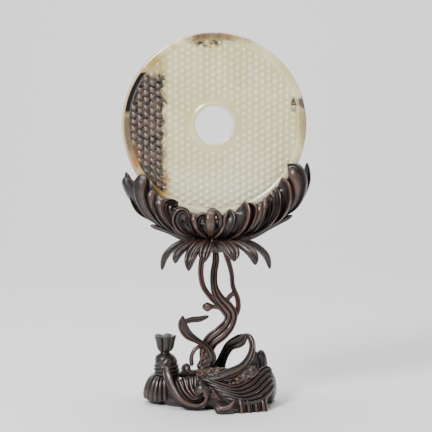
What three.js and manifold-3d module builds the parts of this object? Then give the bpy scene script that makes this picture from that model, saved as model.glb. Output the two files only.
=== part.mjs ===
// A jade bi disc standing in its carved hardwood stand.
// Millimetres, +Z up, +X to the right of the carved front, -Y towards the viewer.
// The origin is on the underside of the stand, below the middle of the disc.
import * as THREE from "three";
import { LoftGeometry } from "three/addons/geometries/LoftGeometry.js";
import { mergeVertices } from "three/addons/utils/BufferGeometryUtils.js";
import Module from "manifold-3d";

// Driving dimensions
const discRadius = 75;
const boreRadius = 15.4;
const discThickness = 6.4;
const groundSink = 0.9; // the grain field lies this far below the rims
const borderWidth = 5.8;
const collarWidth = 2.6;
const discHeight = 230; // height of the disc's centre
const discSegments = 40;
const seatGap = 0.35; // between the disc and the stand that holds it
const cradleRadius = 93; // line that the leaves follow below the disc, about its centre
const cradleFoot = 268; // angle from which the leaves part to both sides, in degrees
const sepalHeight = 134; // height of the drooping leaves where they spring from the crown

// Heights across the carved side of a member, from one edge to the other
const smooth = [0, 0.85, 1, 0.85, 0];
const round = [0, 0.87, 0.87, 0];
const fold = [0.5, 1, 0.45, 0.15];
const unfold = [...fold].reverse();
const pair = [0.3, 1, 0.45, 1, 0.3];

const wasm = await Module();
wasm.setup();

const radians = THREE.MathUtils.degToRad;
const mix = THREE.MathUtils.lerp;

// A solid made from a closed geometry, once only its places are left and shared points are one.
function solidOf(geometry) {
  const bare = new THREE.BufferGeometry().setAttribute("position", geometry.attributes.position);
  const merged = mergeVertices(bare.setIndex(geometry.index), 1e-4);
  return new wasm.Manifold(
    new wasm.Mesh({
      numProp: 3,
      vertProperties: new Float32Array(merged.attributes.position.array),
      triVerts: new Uint32Array(merged.index.array),
    }),
  );
}

// The geometry of a finished solid.
function geometryOf(solid) {
  const { numProp, numVert, vertProperties, triVerts } = solid.getMesh();
  const places = new Float32Array(numVert * 3);
  for (let i = 0; i < numVert; i++)
    places.set(vertProperties.subarray(i * numProp, i * numProp + 3), i * 3);
  const geometry = new THREE.BufferGeometry();
  geometry.setAttribute("position", new THREE.BufferAttribute(places, 3));
  geometry.setIndex(new THREE.BufferAttribute(new Uint32Array(triVerts), 1));
  geometry.computeVertexNormals();
  return geometry;
}

const joined = (solids) => solids.reduce((whole, solid) => whole.add(solid));

// The value at share t of a list of values spaced evenly along a member, eased between them.
function along(values, t) {
  if (values.length === 1) return values[0];
  const place = t * (values.length - 1);
  const i = Math.min(Math.floor(place), values.length - 2);
  return mix(values[i], values[i + 1], THREE.MathUtils.smoothstep(place - i, 0, 1));
}

// One carved member: a section swept along a spine through the points of its path.
// wide and deep are its size across and through, and face is the way its carved side looks;
// across is given instead of face for a sheet that rolls up, and is the way its width runs.
// relief holds the heights across the carved side, and back the number of points behind it.
// roll turns the section about the spine, in degrees. blunt is the share rounded off at each end.
function member({
  path,
  wide,
  deep,
  face = [0, -1, 0],
  across = null,
  roll = [0],
  relief = smooth,
  back = 1,
  blunt = [0.1, 0.12],
  steps = 6,
}) {
  const spine = new THREE.CatmullRomCurve3(path.map((p) => new THREE.Vector3(...p)));
  const front = relief.map((v, k) => [Math.cos((Math.PI * k) / (relief.length - 1)), v]);
  const rear = Array.from({ length: back }, (_, k) => {
    const angle = Math.PI * (1 + (k + 1) / (back + 1));
    return [Math.cos(angle), Math.sin(angle)];
  });
  const sections = [];
  for (let i = 0; i <= steps; i++) {
    const t = i / steps;
    const tangent = spine.getTangent(t);
    const centre = spine.getPoint(t);
    const side = new THREE.Vector3();
    if (across) side.set(...across).addScaledVector(tangent, -tangent.dot(side)).normalize();
    else side.crossVectors(new THREE.Vector3(...face), tangent).normalize();
    side.applyAxisAngle(tangent, radians(along(roll, t)));
    const out = new THREE.Vector3().crossVectors(tangent, side).normalize();
    const fromStart = Math.min(1, (t + 0.02) / blunt[0]);
    const fromEnd = Math.min(1, (1.02 - t) / blunt[1]);
    const full = Math.sqrt(fromStart * (2 - fromStart) * fromEnd * (2 - fromEnd));
    const halfWide = (along(wide, t) / 2) * full;
    const halfDeep = (along(deep, t) / 2) * full;
    sections.push(
      [...front, ...rear].map(([u, v]) =>
        centre.clone().addScaledVector(side, halfWide * u).addScaledVector(out, halfDeep * v),
      ),
    );
  }
  return solidOf(new LoftGeometry(sections, { capStart: true, capEnd: true }));
}

// The jade disc: plain borders at the rim and the bore, standing proud of the grain field.
function jadeDisc() {
  const rimY = discThickness / 2;
  const groundY = rimY - groundSink;
  const half = [
    [boreRadius, rimY - 0.3],
    [boreRadius + collarWidth, rimY],
    [boreRadius + collarWidth + 0.9, groundY],
    [discRadius - borderWidth - 0.9, groundY],
    [discRadius - borderWidth + 0.6, rimY],
    [discRadius, rimY - 1],
  ];
  const front = half.map(([r, y]) => new THREE.Vector2(r, -y));
  const back = half.map(([r, y]) => new THREE.Vector2(r, y)).reverse();
  const profile = [...front, ...back, front[0].clone()];
  return new THREE.LatheGeometry(profile, discSegments);
}

// The room that the disc takes in the stand, with its gap all round.
function discSeat() {
  const radius = discRadius + seatGap;
  const seat = new THREE.CylinderGeometry(radius, radius, discThickness + 2 * seatGap, discSegments);
  return solidOf(seat.translate(0, 0, discHeight));
}

// A place in the disc's plane by angle and radius, at depth y.
function byDisc(angle, radius, y) {
  const a = radians(angle);
  return [radius * Math.cos(a), y, discHeight + radius * Math.sin(a)];
}

// The crescent below the disc that all the leaves grow from.
function crescent() {
  const knots = [-58, -48, -30, 0, 32, 52, 64];
  return member({
    path: knots.map((k) => byDisc(cradleFoot + k, cradleRadius - 8, 0)),
    wide: [13, 20, 22, 23, 22, 20, 13],
    deep: [7, 14, 17, 18, 17, 14, 7],
    across: [0, 1, 0],
    relief: round,
    back: 2,
    blunt: [0.05, 0.05],
    steps: 8,
  });
}

// Leaf lobes that curl over the rim of the disc: the angle and radius of each tip, and its width.
const frontLobes = [
  [216.5, 71, 12],
  [224.5, 72.5, 10],
  [233, 74.5, 11],
  [243, 71, 13],
  [256, 75.5, 8],
  [279, 73.5, 12],
  [289, 71, 13],
  [295.5, 72, 9],
  [302, 74, 10.5],
  [310, 73, 12],
  [319.5, 73.5, 11.5],
  [330, 72.5, 13],
];

const backLobes = [
  [214, 76, 12],
  [229, 72, 17],
  [246, 72, 17],
  [262, 73, 16],
  [278, 72, 16],
  [294, 72, 17],
  [311, 72, 17],
  [328, 73, 15],
];

// One lobe. It runs out along the crescent from its foot, then turns in and up to its tip.
// The lobes far from the foot run along the crescent for longer before they turn.
function lobe([tipAngle, tipRadius, width], side) {
  const outward = Math.sign(tipAngle - cradleFoot);
  const far = Math.abs(tipAngle - cradleFoot) / (outward > 0 ? 62 : 90);
  const from = (share, rise, y) =>
    byDisc(mix(cradleFoot, tipAngle, share), mix(cradleRadius, tipRadius, rise), side * y);
  return member({
    path: [
      from(mix(0.32, 0.58, far), 0.05, 6),
      from(mix(0.55, 0.75, far), mix(0.27, 0.08, far), 10),
      from(mix(0.81, 0.9, far), mix(0.58, 0.4, far), 13),
      from(mix(0.95, 0.98, far), 0.8, 12),
      from(1, 1, 7),
    ],
    wide: [width * 0.5, width * 0.85, width, width * 1.05, width * 0.8],
    deep: [6, 9, 9.5, 8, 5],
    face: [0, side, 0],
    roll: [0, side * outward * 18, side * outward * 12],
    relief: outward * side > 0 ? fold : unfold,
    blunt: [0.1, 0.2],
    steps: 5,
  });
}

// A slender leaf that closes the cradle at one end, in the disc's own plane.
function endLeaf(tipAngle, tipRadius, bow) {
  const from = (share, radius, y) => byDisc(mix(cradleFoot, tipAngle, share), radius, y);
  return member({
    path: [
      from(0.4, cradleRadius - 3, -3),
      from(0.66, cradleRadius - 1, -3),
      from(0.86, mix(cradleRadius, tipRadius, bow), -2),
      from(1, tipRadius, 0),
    ],
    wide: [4, 8, 8, 3],
    deep: [5, 8, 6, 2],
    relief: fold,
  });
}

// Curls in the middle of the cradle: each winds over from its foot to an eye.
function curls() {
  const y = -13;
  const z = sepalHeight;
  return [
    {
      path: [
        [-19, y + 4, z + 7],
        [-27.5, y + 1, z + 12],
        [-31, y, z + 20],
        [-27.5, y - 0.5, z + 27],
        [-22.5, y, z + 26.5],
        [-21, y + 1, z + 20],
        [-24, y + 1, z + 15.5],
      ],
      wide: [4, 7, 8, 7.5, 7, 6, 5],
    },
    {
      path: [
        [-4, y + 5, z + 3],
        [-11, y + 1, z + 8],
        [-13.5, y, z + 15],
        [-11, y - 0.5, z + 21.5],
        [-6.5, y, z + 21.5],
        [-5.5, y + 1, z + 16],
      ],
      wide: [3.5, 6, 6.5, 6.5, 6, 5],
    },
    {
      path: [
        [-3, y + 5, z + 3],
        [4.5, y + 1, z + 7.5],
        [7.5, y, z + 14.5],
        [4.5, y - 0.5, z + 22],
        [-1.5, y, z + 23.5],
        [-2, y + 1, z + 14],
      ],
      wide: [3.5, 7, 8, 9, 9.5, 8],
    },
  ].map(({ path, wide }) => member({ path, wide, deep: [4, 7, 7.5, 7.5, 6, 5], relief: fold, steps: 7 }));
}

// The thin leaves that stand out level below the cradle.
function tendrils() {
  const z = sepalHeight;
  const paths = [
    [
      [-14, -6, z + 2.5],
      [-25, -7, z + 4.5],
      [-37, -7, z + 9.5],
      [-52, -5, z + 14.5],
    ],
    [
      [16, -6, z + 2.5],
      [31, -7, z + 6],
      [47, -6, z + 14],
      [64, -3, z + 22.5],
    ],
  ];
  return paths.map((path) =>
    member({ path, wide: [6, 6, 4.5, 4.5], deep: [5, 5, 4, 4], face: [0, -0.7, -0.7], relief: round }),
  );
}

// The drooping leaves under the cradle: direction from above, reach, drop and width.
const sepals = [
  [183, 43, 23, 11],
  [214, 38, 15, 10],
  [236, 36.5, 20, 11],
  [256, 34, 13, 11],
  [297, 36, 12, 13],
  [325, 41, 16, 12],
  [357, 46, 22, 12],
  [32, 38, 19, 13],
  [68, 36, 18, 13],
  [106, 36, 18, 13],
  [145, 38, 19, 13],
];

function sepal([direction, reach, drop, width]) {
  const a = radians(direction);
  const at = (share, z) => [
    reach * share * Math.cos(a),
    reach * share * Math.sin(a),
    sepalHeight + z,
  ];
  return member({
    path: [at(0.28, -0.5), at(0.54, 0.3), at(0.78, -drop * 0.2), at(0.94, -drop * 0.55), at(1, -drop)],
    wide: [7, width * 0.85, width, width * 0.95, 6.5],
    deep: [6, 5.5, 5, 5, 3.5],
    face: [0.4 * Math.cos(a), 0.4 * Math.sin(a), 1],
    relief: a > Math.PI ? pair : round,
    blunt: [0.04, 0.12],
    steps: 5,
  });
}

// The crown where cradle, sepals and stems meet.
function crown() {
  return member({
    path: [
      [0, 0, sepalHeight - 9],
      [0, 0, sepalHeight - 3],
      [0, 0, sepalHeight + 6],
      [0, 0, sepalHeight + 12],
    ],
    wide: [16, 28, 24, 18],
    deep: [14, 24, 18, 14],
    relief: smooth,
    back: 3,
    steps: 3,
  });
}

// Three stems rise apart under the crown and wind together into one S below.
function stems() {
  const thin = { relief: round, back: 1, steps: 8 };
  return [
    member({
      path: [
        [1, 0, sepalHeight - 4],
        [1.4, 0, 119],
        [-0.2, -1, 108],
        [0.4, -3, 97],
        [4, -5, 88.5],
        [10, -5, 81.5],
        [14, -4, 75],
        [12, -5, 67],
        [5.5, -8, 60],
        [-2, -8, 54],
        [-6, -3, 45],
        [-5, 3, 32],
        [-4, 5, 14],
      ],
      wide: [7, 6, 6, 6.5, 9, 11, 10.5, 11, 12.5, 12.5, 12, 14, 20],
      deep: [7, 6, 6, 6, 7, 7, 7, 7, 7, 7, 9, 13, 20],
      relief: pair,
      back: 1,
      steps: 18,
    }),
    member({
      path: [
        [-8, 1, sepalHeight - 5],
        [-10.7, 2, 114],
        [-10.7, 3, 105],
        [-8.5, 3, 96],
        [-2, 3, 87],
        [6, 4, 79],
        [11, 3, 70],
      ],
      wide: [5, 4.4],
      deep: [5, 4.5],
      ...thin,
    }),
    member({
      path: [
        [8, 1, sepalHeight - 5],
        [12, 2, 117],
        [14.5, 3, 107],
        [15.5, 3, 97],
        [19.5, 2, 86],
        [19.5, 1, 78],
        [14, 0, 67],
      ],
      wide: [5, 4, 4.4, 5],
      deep: [5, 4, 4.5, 5],
      ...thin,
    }),
    member({
      path: [
        [16.5, 2, 92],
        [12.5, 0, 88.5],
        [9, -2, 84],
      ],
      wide: [4],
      deep: [4],
      ...thin,
      steps: 3,
    }),
  ];
}

// The shoots of the stems: a bud on its stalk, a folded leaf that loops round to a knob, and twigs.
function shoots() {
  return [
    member({
      path: [
        [-9.8, -4, 81.5],
        [-5.6, -4, 81],
        [-1.2, -3, 81],
        [5, -3, 79.5],
        [10, -3, 73],
      ],
      wide: [3, 8, 4, 3.6, 3.6],
      deep: [3, 8, 4, 3.6, 3.6],
      back: 3,
      blunt: [0.03, 0.1],
      steps: 12,
    }),
    member({
      path: [
        [-25.5, -13, 75.5],
        [-25.5, -14, 67.5],
        [-21.5, -14, 60],
        [-13, -14, 54.5],
        [-5, -14, 48.5],
        [-2, -14, 41],
        [-4.5, -13, 33.5],
        [-12, -13, 28.5],
        [-20, -13, 28],
        [-23, -13, 31.5],
        [-19.5, -13, 34],
      ],
      wide: [3, 8, 8, 5, 5.5, 8, 8, 6, 6, 8, 6],
      deep: [2.5, 4, 5, 6, 7, 7, 7, 7, 8, 8, 6],
      relief: unfold,
      back: 1,
      blunt: [0.06, 0.06],
      steps: 18,
    }),
    member({
      path: [
        [-4, -5, 73.5],
        [-12, -8, 71.5],
        [-18, -11, 71.5],
        [-25, -13, 70],
      ],
      wide: [2.5, 5, 5, 4],
      deep: [2.5, 4, 4, 4],
      relief: round,
      back: 2,
      steps: 4,
    }),
    member({
      path: [
        [-6, -9, 51],
        [-15, -11, 47.5],
        [-18.5, -12, 41],
        [-18, -12, 33],
      ],
      wide: [4, 3.4, 3.4, 4],
      deep: [4, 4, 4, 4],
      relief: round,
      back: 2,
      steps: 5,
    }),
  ];
}

// The low body of the rockwork that carries everything.
function rockCore() {
  return member({
    path: [
      [-48, 6, 3],
      [-24, 2, 6],
      [0, 0, 8],
      [24, 0, 6],
      [46, 2, 3],
    ],
    wide: [26, 44, 56, 54, 30],
    deep: [18, 24, 30, 26, 22],
    across: [0, 1, 0],
    relief: smooth,
    back: 1,
    steps: 6,
    blunt: [0.2, 0.2],
  });
}

// A ribbed mound: ribs that fall from one crest to the ground all round, like a shell.
function ribFan({ crest, middle, reach, from, to, count, width, floor }) {
  return Array.from({ length: count }, (_, i) => {
    const a = radians(mix(from, to, i / (count - 1)));
    const foot = [middle[0] + reach[0] * Math.cos(a), middle[1] + reach[1] * Math.sin(a)];
    return member({
      path: [
        crest,
        [mix(crest[0], foot[0], 0.62), mix(crest[1], foot[1], 0.62), crest[2] * 0.9],
        [...foot, crest[2] * 0.45],
        [...foot, floor],
      ],
      wide: [4, width, width * 1.1, width],
      deep: [6, 9, 8, 8],
      face: [Math.cos(a), Math.sin(a), 0.6],
      relief: round,
      steps: 4,
    });
  });
}

// The lotus bud on its ringed foot at the left of the rockwork: turned, then lobed above the neck.
function post() {
  const foot = new THREE.Vector3(-37.5, 2, 12);
  const neck = 30; // height of the neck above the foot
  const lean = -3;
  const lobes = 5;
  const profile = [
    [0, 0],
    [10.6, 0],
    [10.7, 12.5],
    [10, 14],
    [10.7, 15.5],
    [9.6, 17.5],
    [9.2, 22],
    [7, 27],
    [3.8, neck],
    [7, neck + 4],
    [8.2, neck + 9],
    [6.6, neck + 13],
    [0, neck + 11],
  ].map(([r, z]) => new THREE.Vector2(r, z));
  const body = new THREE.LatheGeometry(profile, 2 * lobes).rotateX(Math.PI / 2);
  const place = body.attributes.position;
  for (let i = 0; i < place.count; i++) {
    const [x, y, z] = [place.getX(i), place.getY(i), place.getZ(i)];
    const ridge = z > neck ? 1 + 0.16 * Math.cos(lobes * Math.atan2(-y, x)) : 1;
    place.setXYZ(i, x * ridge + lean * Math.min(1, z / neck), y * ridge, z);
  }
  return solidOf(body.translate(...foot));
}

// The scroll at the front: a fluted leaf that sweeps down from the post and winds up to an eye.
function frontScroll() {
  return [
    member({
      path: [
        [-40, -12, 33],
        [-37.5, -18, 26],
        [-32, -23, 17],
        [-26, -26, 10.5],
        [-19.5, -27, 6.5],
        [-13, -27, 5.5],
        [-8, -27, 8],
        [-6.3, -27, 13],
        [-9.3, -27, 17.2],
        [-12, -27, 14.5],
      ],
      wide: [5, 6, 8, 10.5, 11, 10, 8, 7, 6.5, 5],
      deep: [6, 7, 8, 9, 9, 9, 9, 9, 9, 8],
      relief: [0.9, 1, 0.3, 0.6, 0.2],
      blunt: [0.05, 0.05],
      steps: 16,
    }),
    member({
      path: [
        [-16, -14, 26],
        [-18, -19, 21],
        [-17.5, -22, 15],
        [-13, -23, 10],
      ],
      wide: [8, 10, 9, 6],
      deep: [8, 10, 10, 8],
      relief: pair,
      steps: 4,
    }),
  ];
}

// The great leaf at the right: it rises in an arc to a point, and its other half falls behind.
function greatLeaf() {
  return [
    member({
      path: [
        [-12, -20, 23.5],
        [0, -21, 25.5],
        [13, -20, 29.5],
        [23, -17, 34],
        [29, -13, 41],
        [31.5, -8, 49],
        [29.5, -4, 55.5],
        [25.8, -3, 59],
      ],
      wide: [7, 8, 8, 7, 6, 5.5, 5, 2],
      deep: [8, 8, 7, 7, 6, 6, 5, 2],
      relief: unfold,
      back: 2,
      steps: 13,
    }),
    member({
      path: [
        [26.5, -2, 58],
        [22, 0, 52.5],
        [13.5, 3, 47.5],
        [9, 6, 40],
        [5.5, 7, 31],
        [3, 6, 20],
      ],
      wide: [4, 11, 9, 8, 9, 12],
      deep: [3, 4.5, 5, 5, 6, 10],
      face: [-0.3, -1, 0.4],
      relief: pair,
      steps: 8,
    }),
  ];
}

// The long waves that sweep to the right, one above the other: three in front, two behind.
function waves() {
  const wave = ([top, low], k, face) =>
    member({
      path: top.map((place, i) => place.map((value, axis) => mix(value, low[i][axis], k))),
      wide: [5, 8.5, 9, 8.5, 6, 3.5],
      deep: [8, 9, 9, 8, 6, 4],
      face,
      relief: round,
    });
  const front = [
    [
      [-12, -20, 25],
      [4, -25, 19],
      [17, -27, 16],
      [29, -22, 20.5],
      [37, -14, 27.5],
      [45, -6, 29],
    ],
    [
      [8, -28, 9],
      [18, -33, 8.5],
      [28, -34, 7.5],
      [38, -28, 9.5],
      [46, -18, 15],
      [50, -8, 17],
    ],
  ];
  const behind = [
    [
      [-32, 17, 21],
      [-13, 23, 19],
      [10, 24, 19],
      [28, 20, 24],
      [38, 15, 32],
    ],
    [
      [-42, 16, 6],
      [-18, 29, 6],
      [12, 31, 5],
      [34, 26, 7],
      [47, 16, 14],
    ],
  ];
  return [
    ...[0, 0.5, 1].map((k) => wave(front, k, [0.1, -0.8, 0.6])),
    ...[0, 1].map((k) => wave(behind, k, [0.1, 0.8, 0.6])),
  ];
}

// Rounded rocks: centre and half sizes.
const rocks = [
  [[33, 6, 31], [5.5, 7, 12]],
  [[39, 9, 29], [5.5, 7, 14]],
  [[44, 6, 12], [8, 15, 15]],
];

function rock([centre, size]) {
  const ball = new THREE.IcosahedronGeometry(1, 1);
  return solidOf(ball.scale(...size).translate(...centre));
}

// Small feet that curl out along the front edge on the right.
function frontFeet() {
  const foot = member({
    path: [
      [1, -38, 7],
      [5, -41.5, 3],
      [12, -41, 3.5],
      [18.5, -34, 9],
    ],
    wide: [4, 8, 9, 6],
    deep: [5, 8, 9, 8],
    relief: fold,
    steps: 5,
  });
  const toes = [23, 31.5, 40].map((x, i) =>
    member({
      path: [
        [x - 5, -22 + 3 * i, 9],
        [x - 1, -33 + 3 * i, 8],
        [x, -36.5 + 3 * i, 3],
        [x + 0.5, -37 + 3 * i, -3],
      ],
      wide: [6, 9, 9, 8.5],
      deep: [6, 8, 7, 7],
      face: [0, -1, 0.5],
      relief: round,
      steps: 4,
    }),
  );
  return [foot, ...toes];
}

// The stand, joined from its carved members, seated for the disc and cut flat below.
function stand() {
  const below = 40;
  const ground = new THREE.BoxGeometry(400, 400, below).translate(0, 0, -below / 2);
  const members = [
    rockCore(),
    crown(),
    crescent(),
    ...backLobes.map((shape) => lobe(shape, 1)),
    ...frontLobes.map((shape) => lobe(shape, -1)),
    endLeaf(208, 81.5, 0.7),
    endLeaf(338, 81.7, 0.4),
    ...curls(),
    ...tendrils(),
    ...sepals.map(sepal),
    ...stems(),
    ...shoots(),
    post(),
    ...ribFan({ crest: [-40, 4, 19], middle: [-43.5, 4], reach: [11, 12], from: 60, to: 315, count: 7, width: 10, floor: 3 }),
    ...frontScroll(),
    ...greatLeaf(),
    ...waves(),
    ...rocks.map(rock),
    ...frontFeet(),
  ];
  return joined(members).subtract(discSeat()).subtract(solidOf(ground));
}

const jade = new THREE.MeshStandardMaterial({ color: 0xc9c8ae, roughness: 0.35, metalness: 0 });
const darkWood = new THREE.MeshStandardMaterial({ color: 0x2e1a14, roughness: 0.4, metalness: 0 });

const disc = new THREE.Mesh(jadeDisc(), jade);
disc.name = "jade_disc";
disc.position.z = discHeight;

const carvedStand = new THREE.Mesh(geometryOf(stand()), darkWood);
carvedStand.name = "carved_stand";

const whole = new THREE.Group();
whole.add(disc, carvedStand);

export default whole;
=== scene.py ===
"""A jade bi disc standing in its carved hardwood stand.

Metres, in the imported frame's own axes: +Z up, +X to the right of the carved front, -Y towards
the viewer, with the origin on the ground below the middle of the disc. Tables are in millimetres.
"""

import math

import bmesh
import bpy
import numpy as np
from bpy.props import FloatProperty, FloatVectorProperty, IntProperty, PointerProperty
from bpy.types import Operator, Panel, PropertyGroup
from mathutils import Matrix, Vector


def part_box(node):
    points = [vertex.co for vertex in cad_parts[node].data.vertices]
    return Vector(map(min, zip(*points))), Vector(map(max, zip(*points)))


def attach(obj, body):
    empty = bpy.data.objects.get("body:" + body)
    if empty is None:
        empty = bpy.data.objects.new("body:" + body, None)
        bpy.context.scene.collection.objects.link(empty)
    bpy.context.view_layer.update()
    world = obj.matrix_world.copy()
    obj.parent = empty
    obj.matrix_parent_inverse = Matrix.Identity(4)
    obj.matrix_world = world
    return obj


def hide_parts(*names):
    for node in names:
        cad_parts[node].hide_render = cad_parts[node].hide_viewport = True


bl_info = {
    "name": "Jade bi disc",
    "version": (1, 0, 0),
    "blender": (4, 5, 0),
    "location": "View3D > Sidebar > Bi Disc",
    "description": "A grain-pattern jade disc and the carved stand that it rests in",
    "category": "Add Mesh",
}

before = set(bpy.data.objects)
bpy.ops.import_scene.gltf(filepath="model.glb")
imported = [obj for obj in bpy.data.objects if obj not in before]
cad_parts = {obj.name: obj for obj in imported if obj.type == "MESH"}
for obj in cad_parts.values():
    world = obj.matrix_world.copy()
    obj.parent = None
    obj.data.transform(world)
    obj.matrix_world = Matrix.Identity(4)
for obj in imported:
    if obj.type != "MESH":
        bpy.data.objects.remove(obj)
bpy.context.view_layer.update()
DISC_LOW, DISC_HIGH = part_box("jade_disc")
STAND_LOW, STAND_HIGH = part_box("carved_stand")
DISC_RADIUS = (DISC_HIGH.x - DISC_LOW.x) / 2
DISC_MIDDLE = (DISC_HIGH + DISC_LOW) / 2
DISC_THICKNESS = DISC_HIGH.y - DISC_LOW.y
MM = 0.001


def colour(name, description, red, green, blue):
    """A colour property, given as it looks on a screen, 0 to 255."""
    shown = np.array([red, green, blue]) / 255
    linear = np.where(shown <= 0.04045, shown / 12.92, ((shown + 0.055) / 1.055) ** 2.4)
    return FloatVectorProperty(
        name=name,
        description=description,
        subtype="COLOR",
        size=3,
        min=0,
        max=1,
        default=tuple(float(v) for v in linear),
    )


def length(name, description, millimetres):
    """A size property, with its default in millimetres."""
    return FloatProperty(
        name=name, description=description, unit="LENGTH", min=0, default=millimetres * MM
    )


# --- What a user would change ---------------------------------------------------------------


class DiscSettings(PropertyGroup):
    radius: FloatProperty(
        name="Radius", description="Radius of the disc", unit="LENGTH", default=DISC_RADIUS
    )
    thickness: FloatProperty(
        name="Thickness",
        description="Thickness of the disc over its raised rims",
        unit="LENGTH",
        default=DISC_THICKNESS,
    )
    bore: length("Bore", "Radius of the hole through the disc", 15.4)
    collar: length("Collar", "Width of the raised ring round the hole", 2.6)
    border: length("Border", "Width of the raised ring round the edge", 5.8)
    sink: length("Sink", "Depth of the grain field below the rims", 0.9)
    column: length("Columns", "Distance between the columns of grains", 5.0)
    pitch: length("Pitch", "Distance between the grains of one column", 5.77)
    grain: length("Grain", "Width of one grain", 4.7)
    body: colour("Body", "Colour of the pale body", 226, 216, 172)
    milk: colour("Milk", "Colour of the whiter clouds", 236, 230, 200)
    # Colour of the greener clouds, also painted on the ground between the grains as shade.
    moss_and_ground_shade: colour("Moss", "Colour of the greener clouds", 208, 204, 148)
    # Colour painted on the tops of the grains in the pale field as their highlight.
    stain_grain_highlight: colour("Dust", "Colour of the grains in the dark stain", 168, 144, 126)
    # Colour painted on the grain tops inside the dark stain as their highlight.
    grain_top_highlight: colour("Glow", "Colour of the polished grains", 244, 236, 202)
    honey: colour("Honey", "Colour of the yellow stain along the dark patch", 178, 142, 72)
    amber: colour("Amber", "Colour of the small orange stains", 172, 108, 44)
    russet: colour("Russet", "Colour of the russet skin on the rims", 128, 88, 56)
    blush: colour("Blush", "Colour of the pinkish edge beside the dark stain", 196, 164, 146)
    umber: colour("Umber", "Colour of the brown clouds in the dark stain", 86, 66, 56)
    smoke: colour("Smoke", "Colour of the grey-green clouds in the dark stain", 66, 66, 54)
    char: colour("Char", "Colour of the dark burial stain", 16, 11, 11)


class StandSettings(PropertyGroup):
    cradle: length("Cradle", "Radius of the line that the leaves follow below the disc", 93)
    seat_gap: length("Seat gap", "Room between the disc and the slot that holds it", 0.35)
    sepals: length("Sepals", "Height of the drooping leaves where they spring out", 134)
    density: FloatProperty(
        name="Density", description="Fineness of the carved skin", min=0.3, max=2, default=1
    )
    # The darkest wood colour, also painted into the hollows as shade and grime.
    dark: colour("Dark wood", "Colour of the wood in the hollows", 9, 5, 4)
    heart: colour("Heartwood", "Colour of the wood on its faces", 34, 20, 16)
    # Colour of the ridges: their real wear, brightened to also stand in for their highlight.
    wear_and_highlight: colour("Worn wood", "Colour of the wood on the rubbed ridges", 112, 80, 66)
    red: colour("Red wood", "Colour of the redder streaks", 84, 26, 20)


class StageSettings(PropertyGroup):
    lens: FloatProperty(name="Lens", description="Focal length in millimetres", default=135)
    distance: FloatProperty(
        name="Distance", description="Camera to target", unit="LENGTH", default=1.325
    )
    elevation: FloatProperty(
        name="Elevation",
        description="Height of the camera above the horizon",
        subtype="ANGLE",
        default=math.radians(6),
    )
    floor: colour("Floor", "Colour of the floor and the backdrop", 222, 222, 222)
    key: FloatProperty(name="Key light", description="Strength in watts", unit="POWER", default=31)
    fill: FloatProperty(name="Fill light", description="Strength in watts", unit="POWER", default=2.5)
    back: FloatProperty(name="Back light", description="Strength in watts", unit="POWER", default=45)


# --- Shader expressions ---------------------------------------------------------------------


class Wire:
    """A socket of a finish, which Python arithmetic turns into Math nodes."""

    def __init__(self, finish, socket):
        self.finish = finish
        self.socket = socket

    def _maths(self, operation, *values):
        flat = all(v.socket.type == "VALUE" for v in values if isinstance(v, Wire))
        flat = flat and not any(isinstance(v, tuple) for v in values)
        kind = "ShaderNodeMath" if flat else "ShaderNodeVectorMath"
        return self.finish.node(kind, {"operation": operation}, dict(enumerate(values)))

    def __add__(self, other):
        return self._maths("ADD", self, other)

    __radd__ = __add__

    def __sub__(self, other):
        return self._maths("SUBTRACT", self, other)

    def __rsub__(self, other):
        return self._maths("SUBTRACT", other, self)

    def __mul__(self, other):
        return self._maths("MULTIPLY", self, other)

    __rmul__ = __mul__

    def __truediv__(self, other):
        return self._maths("DIVIDE", self, other)

    def __pow__(self, other):
        return self._maths("POWER", self, other)

    def __abs__(self):
        return self._maths("ABSOLUTE", self)

    def high(self, other):
        """The greater of this and another value."""
        return self._maths("MAXIMUM", self, other)

    def low(self, other):
        """The lesser of this and another value."""
        return self._maths("MINIMUM", self, other)

    def soft(self, start, end):
        """0 at start and beyond, 1 at end and beyond, and a smooth step between."""
        return self.finish.node(
            "ShaderNodeMapRange",
            {"interpolation_type": "SMOOTHSTEP"},
            {"Value": self, "From Min": start, "From Max": end},
        )


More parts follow.
